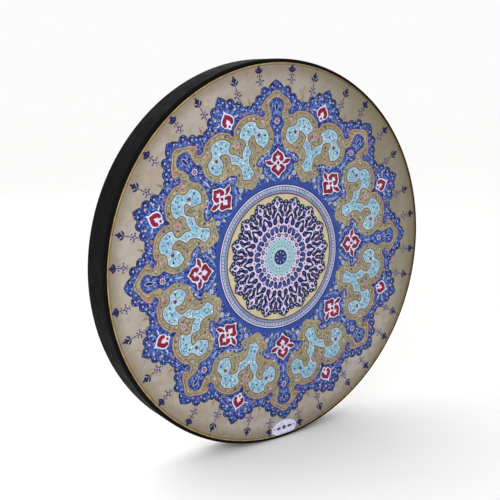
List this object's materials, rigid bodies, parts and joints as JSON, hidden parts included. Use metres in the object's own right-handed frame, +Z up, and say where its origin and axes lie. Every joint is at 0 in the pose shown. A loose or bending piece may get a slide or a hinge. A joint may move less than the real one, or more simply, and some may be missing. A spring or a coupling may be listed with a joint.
{
  "type": "frame drum",
  "caption": "Shallow round frame drum with a printed skin on a bent wooden hoop, a black side cover, and short chains of steel rings hung inside.",
  "frame": {"origin": "under the middle of the rim, halfway through the depth, on the surface that the drum stands on", "axes": "+Z up, the drum's axis along Y, the skin facing -Y and the open back facing +Y"},
  "size_m": [0.53, 0.045, 0.53],
  "materials": {
    "hoop_wood": "satin lacquer",
    "printed_skin": "matte print on synthetic skin",
    "black_leatherette": "fine-grained black leatherette",
    "label_paper": "smooth coated paper",
    "steel_wire": "nickel-plated wire",
    "strap_leather": "dark brown leather with stitched edges",
    "strap_brass": "polished"
  },
  "bodies": {
    "drum": {"frame_hoop": "hoop_wood", "head_skin": "printed_skin", "side_cover": "black_leatherette", "maker_label": "label_paper", "ring_eyes": "steel_wire", "hand_strap": "strap_leather", "strap_washers": "strap_brass", "strap_screws": "strap_brass"},
    "ring_01_upper": {"ring_01_upper": "steel_wire"},
    "ring_01_middle": {"ring_01_middle": "steel_wire"},
    "ring_01_lower": {"ring_01_lower": "steel_wire"},
    "ring_02_upper": {"ring_02_upper": "steel_wire"},
    "ring_02_middle": {"ring_02_middle": "steel_wire"},
    "ring_02_lower": {"ring_02_lower": "steel_wire"},
    "ring_03_upper": {"ring_03_upper": "steel_wire"},
    "ring_03_middle": {"ring_03_middle": "steel_wire"},
    "ring_03_lower": {"ring_03_lower": "steel_wire"},
    "ring_04_upper": {"ring_04_upper": "steel_wire"},
    "ring_04_middle": {"ring_04_middle": "steel_wire"},
    "ring_04_lower": {"ring_04_lower": "steel_wire"},
    "ring_05_upper": {"ring_05_upper": "steel_wire"},
    "ring_05_middle": {"ring_05_middle": "steel_wire"},
    "ring_05_lower": {"ring_05_lower": "steel_wire"},
    "ring_06_upper": {"ring_06_upper": "steel_wire"},
    "ring_06_middle": {"ring_06_middle": "steel_wire"},
    "ring_06_lower": {"ring_06_lower": "steel_wire"},
    "ring_07_upper": {"ring_07_upper": "steel_wire"},
    "ring_07_middle": {"ring_07_middle": "steel_wire"},
    "ring_07_lower": {"ring_07_lower": "steel_wire"},
    "ring_08_upper": {"ring_08_upper": "steel_wire"},
    "ring_08_middle": {"ring_08_middle": "steel_wire"},
    "ring_08_lower": {"ring_08_lower": "steel_wire"},
    "ring_09_upper": {"ring_09_upper": "steel_wire"},
    "ring_09_middle": {"ring_09_middle": "steel_wire"},
    "ring_09_lower": {"ring_09_lower": "steel_wire"},
    "ring_10_upper": {"ring_10_upper": "steel_wire"},
    "ring_10_middle": {"ring_10_middle": "steel_wire"},
    "ring_10_lower": {"ring_10_lower": "steel_wire"},
    "ring_11_upper": {"ring_11_upper": "steel_wire"},
    "ring_11_middle": {"ring_11_middle": "steel_wire"},
    "ring_11_lower": {"ring_11_lower": "steel_wire"},
    "ring_12_upper": {"ring_12_upper": "steel_wire"},
    "ring_12_middle": {"ring_12_middle": "steel_wire"},
    "ring_12_lower": {"ring_12_lower": "steel_wire"},
    "ring_13_upper": {"ring_13_upper": "steel_wire"},
    "ring_13_middle": {"ring_13_middle": "steel_wire"},
    "ring_13_lower": {"ring_13_lower": "steel_wire"},
    "ring_14_upper": {"ring_14_upper": "steel_wire"},
    "ring_14_middle": {"ring_14_middle": "steel_wire"},
    "ring_14_lower": {"ring_14_lower": "steel_wire"},
    "ring_15_upper": {"ring_15_upper": "steel_wire"},
    "ring_15_middle": {"ring_15_middle": "steel_wire"},
    "ring_15_lower": {"ring_15_lower": "steel_wire"}
  },
  "joints": [
    {"name": "swing_01_upper", "type": "hinge", "parent": "drum", "child": "ring_01_upper", "pos_m": [-0.24167, 0.001, 0.2872], "axis": [1, 0, 0], "range_deg": [-15, 15]},
    {"name": "swing_01_middle", "type": "hinge", "parent": "ring_01_upper", "child": "ring_01_middle", "pos_m": [-0.24167, 0.001, 0.2783], "axis": [1, 0, 0], "range_deg": [-15, 15]},
    {"name": "swing_01_lower", "type": "hinge", "parent": "ring_01_middle", "child": "ring_01_lower", "pos_m": [-0.24167, 0.001, 0.2659], "axis": [1, 0, 0], "range_deg": [-15, 15]},
    {"name": "swing_02_upper", "type": "hinge", "parent": "drum", "child": "ring_02_upper", "pos_m": [-0.23111, 0.001, 0.33689], "axis": [1, 0, 0], "range_deg": [-15, 15]},
    {"name": "swing_02_middle", "type": "hinge", "parent": "ring_02_upper", "child": "ring_02_middle", "pos_m": [-0.23111, 0.001, 0.32799], "axis": [1, 0, 0], "range_deg": [-15, 15]},
    {"name": "swing_02_lower", "type": "hinge", "parent": "ring_02_middle", "child": "ring_02_lower", "pos_m": [-0.23111, 0.001, 0.31559], "axis": [1, 0, 0], "range_deg": [-15, 15]},
    {"name": "swing_03_upper", "type": "hinge", "parent": "drum", "child": "ring_03_upper", "pos_m": [-0.21044, 0.001, 0.3833], "axis": [1, 0, 0], "range_deg": [-15, 15]},
    {"name": "swing_03_middle", "type": "hinge", "parent": "ring_03_upper", "child": "ring_03_middle", "pos_m": [-0.21044, 0.001, 0.3744], "axis": [1, 0, 0], "range_deg": [-15, 15]},
    {"name": "swing_03_lower", "type": "hinge", "parent": "ring_03_middle", "child": "ring_03_lower", "pos_m": [-0.21044, 0.001, 0.362], "axis": [1, 0, 0], "range_deg": [-15, 15]},
    {"name": "swing_04_upper", "type": "hinge", "parent": "drum", "child": "ring_04_upper", "pos_m": [-0.18058, 0.001, 0.4244], "axis": [1, 0, 0], "range_deg": [-15, 15]},
    {"name": "swing_04_middle", "type": "hinge", "parent": "ring_04_upper", "child": "ring_04_middle", "pos_m": [-0.18058, 0.001, 0.4155], "axis": [1, 0, 0], "range_deg": [-15, 15]},
    {"name": "swing_04_lower", "type": "hinge", "parent": "ring_04_middle", "child": "ring_04_lower", "pos_m": [-0.18058, 0.001, 0.4031], "axis": [1, 0, 0], "range_deg": [-15, 15]},
    {"name": "swing_05_upper", "type": "hinge", "parent": "drum", "child": "ring_05_upper", "pos_m": [-0.14283, 0.001, 0.45839], "axis": [1, 0, 0], "range_deg": [-15, 15]},
    {"name": "swing_05_middle", "type": "hinge", "parent": "ring_05_upper", "child": "ring_05_middle", "pos_m": [-0.14283, 0.001, 0.44949], "axis": [1, 0, 0], "range_deg": [-15, 15]},
    {"name": "swing_05_lower", "type": "hinge", "parent": "ring_05_middle", "child": "ring_05_lower", "pos_m": [-0.14283, 0.001, 0.43709], "axis": [1, 0, 0], "range_deg": [-15, 15]},
    {"name": "swing_06_upper", "type": "hinge", "parent": "drum", "child": "ring_06_upper", "pos_m": [-0.09884, 0.001, 0.48379], "axis": [1, 0, 0], "range_deg": [-15, 15]},
    {"name": "swing_06_middle", "type": "hinge", "parent": "ring_06_upper", "child": "ring_06_middle", "pos_m": [-0.09884, 0.001, 0.47489], "axis": [1, 0, 0], "range_deg": [-15, 15]},
    {"name": "swing_06_lower", "type": "hinge", "parent": "ring_06_middle", "child": "ring_06_lower", "pos_m": [-0.09884, 0.001, 0.46249], "axis": [1, 0, 0], "range_deg": [-15, 15]},
    {"name": "swing_07_upper", "type": "hinge", "parent": "drum", "child": "ring_07_upper", "pos_m": [-0.05052, 0.001, 0.49949], "axis": [1, 0, 0], "range_deg": [-15, 15]},
    {"name": "swing_07_middle", "type": "hinge", "parent": "ring_07_upper", "child": "ring_07_middle", "pos_m": [-0.05052, 0.001, 0.49059], "axis": [1, 0, 0], "range_deg": [-15, 15]},
    {"name": "swing_07_lower", "type": "hinge", "parent": "ring_07_middle", "child": "ring_07_lower", "pos_m": [-0.05052, 0.001, 0.47819], "axis": [1, 0, 0], "range_deg": [-15, 15]},
    {"name": "swing_08_upper", "type": "hinge", "parent": "drum", "child": "ring_08_upper", "pos_m": [0, 0.001, 0.5048], "axis": [1, 0, 0], "range_deg": [-15, 15]},
    {"name": "swing_08_middle", "type": "hinge", "parent": "ring_08_upper", "child": "ring_08_middle", "pos_m": [0, 0.001, 0.4959], "axis": [1, 0, 0], "range_deg": [-15, 15]},
    {"name": "swing_08_lower", "type": "hinge", "parent": "ring_08_middle", "child": "ring_08_lower", "pos_m": [0, 0.001, 0.4835], "axis": [1, 0, 0], "range_deg": [-15, 15]},
    {"name": "swing_09_upper", "type": "hinge", "parent": "drum", "child": "ring_09_upper", "pos_m": [0.05052, 0.001, 0.49949], "axis": [1, 0, 0], "range_deg": [-15, 15]},
    {"name": "swing_09_middle", "type": "hinge", "parent": "ring_09_upper", "child": "ring_09_middle", "pos_m": [0.05052, 0.001, 0.49059], "axis": [1, 0, 0], "range_deg": [-15, 15]},
    {"name": "swing_09_lower", "type": "hinge", "parent": "ring_09_middle", "child": "ring_09_lower", "pos_m": [0.05052, 0.001, 0.47819], "axis": [1, 0, 0], "range_deg": [-15, 15]},
    {"name": "swing_10_upper", "type": "hinge", "parent": "drum", "child": "ring_10_upper", "pos_m": [0.09884, 0.001, 0.48379], "axis": [1, 0, 0], "range_deg": [-15, 15]},
    {"name": "swing_10_middle", "type": "hinge", "parent": "ring_10_upper", "child": "ring_10_middle", "pos_m": [0.09884, 0.001, 0.47489], "axis": [1, 0, 0], "range_deg": [-15, 15]},
    {"name": "swing_10_lower", "type": "hinge", "parent": "ring_10_middle", "child": "ring_10_lower", "pos_m": [0.09884, 0.001, 0.46249], "axis": [1, 0, 0], "range_deg": [-15, 15]},
    {"name": "swing_11_upper", "type": "hinge", "parent": "drum", "child": "ring_11_upper", "pos_m": [0.14283, 0.001, 0.45839], "axis": [1, 0, 0], "range_deg": [-15, 15]},
    {"name": "swing_11_middle", "type": "hinge", "parent": "ring_11_upper", "child": "ring_11_middle", "pos_m": [0.14283, 0.001, 0.44949], "axis": [1, 0, 0], "range_deg": [-15, 15]},
    {"name": "swing_11_lower", "type": "hinge", "parent": "ring_11_middle", "child": "ring_11_lower", "pos_m": [0.14283, 0.001, 0.43709], "axis": [1, 0, 0], "range_deg": [-15, 15]},
    {"name": "swing_12_upper", "type": "hinge", "parent": "drum", "child": "ring_12_upper", "pos_m": [0.18058, 0.001, 0.4244], "axis": [1, 0, 0], "range_deg": [-15, 15]},
    {"name": "swing_12_middle", "type": "hinge", "parent": "ring_12_upper", "child": "ring_12_middle", "pos_m": [0.18058, 0.001, 0.4155], "axis": [1, 0, 0], "range_deg": [-15, 15]},
    {"name": "swing_12_lower", "type": "hinge", "parent": "ring_12_middle", "child": "ring_12_lower", "pos_m": [0.18058, 0.001, 0.4031], "axis": [1, 0, 0], "range_deg": [-15, 15]},
    {"name": "swing_13_upper", "type": "hinge", "parent": "drum", "child": "ring_13_upper", "pos_m": [0.21044, 0.001, 0.3833], "axis": [1, 0, 0], "range_deg": [-15, 15]},
    {"name": "swing_13_middle", "type": "hinge", "parent": "ring_13_upper", "child": "ring_13_middle", "pos_m": [0.21044, 0.001, 0.3744], "axis": [1, 0, 0], "range_deg": [-15, 15]},
    {"name": "swing_13_lower", "type": "hinge", "parent": "ring_13_middle", "child": "ring_13_lower", "pos_m": [0.21044, 0.001, 0.362], "axis": [1, 0, 0], "range_deg": [-15, 15]},
    {"name": "swing_14_upper", "type": "hinge", "parent": "drum", "child": "ring_14_upper", "pos_m": [0.23111, 0.001, 0.33689], "axis": [1, 0, 0], "range_deg": [-15, 15]},
    {"name": "swing_14_middle", "type": "hinge", "parent": "ring_14_upper", "child": "ring_14_middle", "pos_m": [0.23111, 0.001, 0.32799], "axis": [1, 0, 0], "range_deg": [-15, 15]},
    {"name": "swing_14_lower", "type": "hinge", "parent": "ring_14_middle", "child": "ring_14_lower", "pos_m": [0.23111, 0.001, 0.31559], "axis": [1, 0, 0], "range_deg": [-15, 15]},
    {"name": "swing_15_upper", "type": "hinge", "parent": "drum", "child": "ring_15_upper", "pos_m": [0.24167, 0.001, 0.2872], "axis": [1, 0, 0], "range_deg": [-15, 15]},
    {"name": "swing_15_middle", "type": "hinge", "parent": "ring_15_upper", "child": "ring_15_middle", "pos_m": [0.24167, 0.001, 0.2783], "axis": [1, 0, 0], "range_deg": [-15, 15]},
    {"name": "swing_15_lower", "type": "hinge", "parent": "ring_15_middle", "child": "ring_15_lower", "pos_m": [0.24167, 0.001, 0.2659], "axis": [1, 0, 0], "range_deg": [-15, 15]}
  ]
}
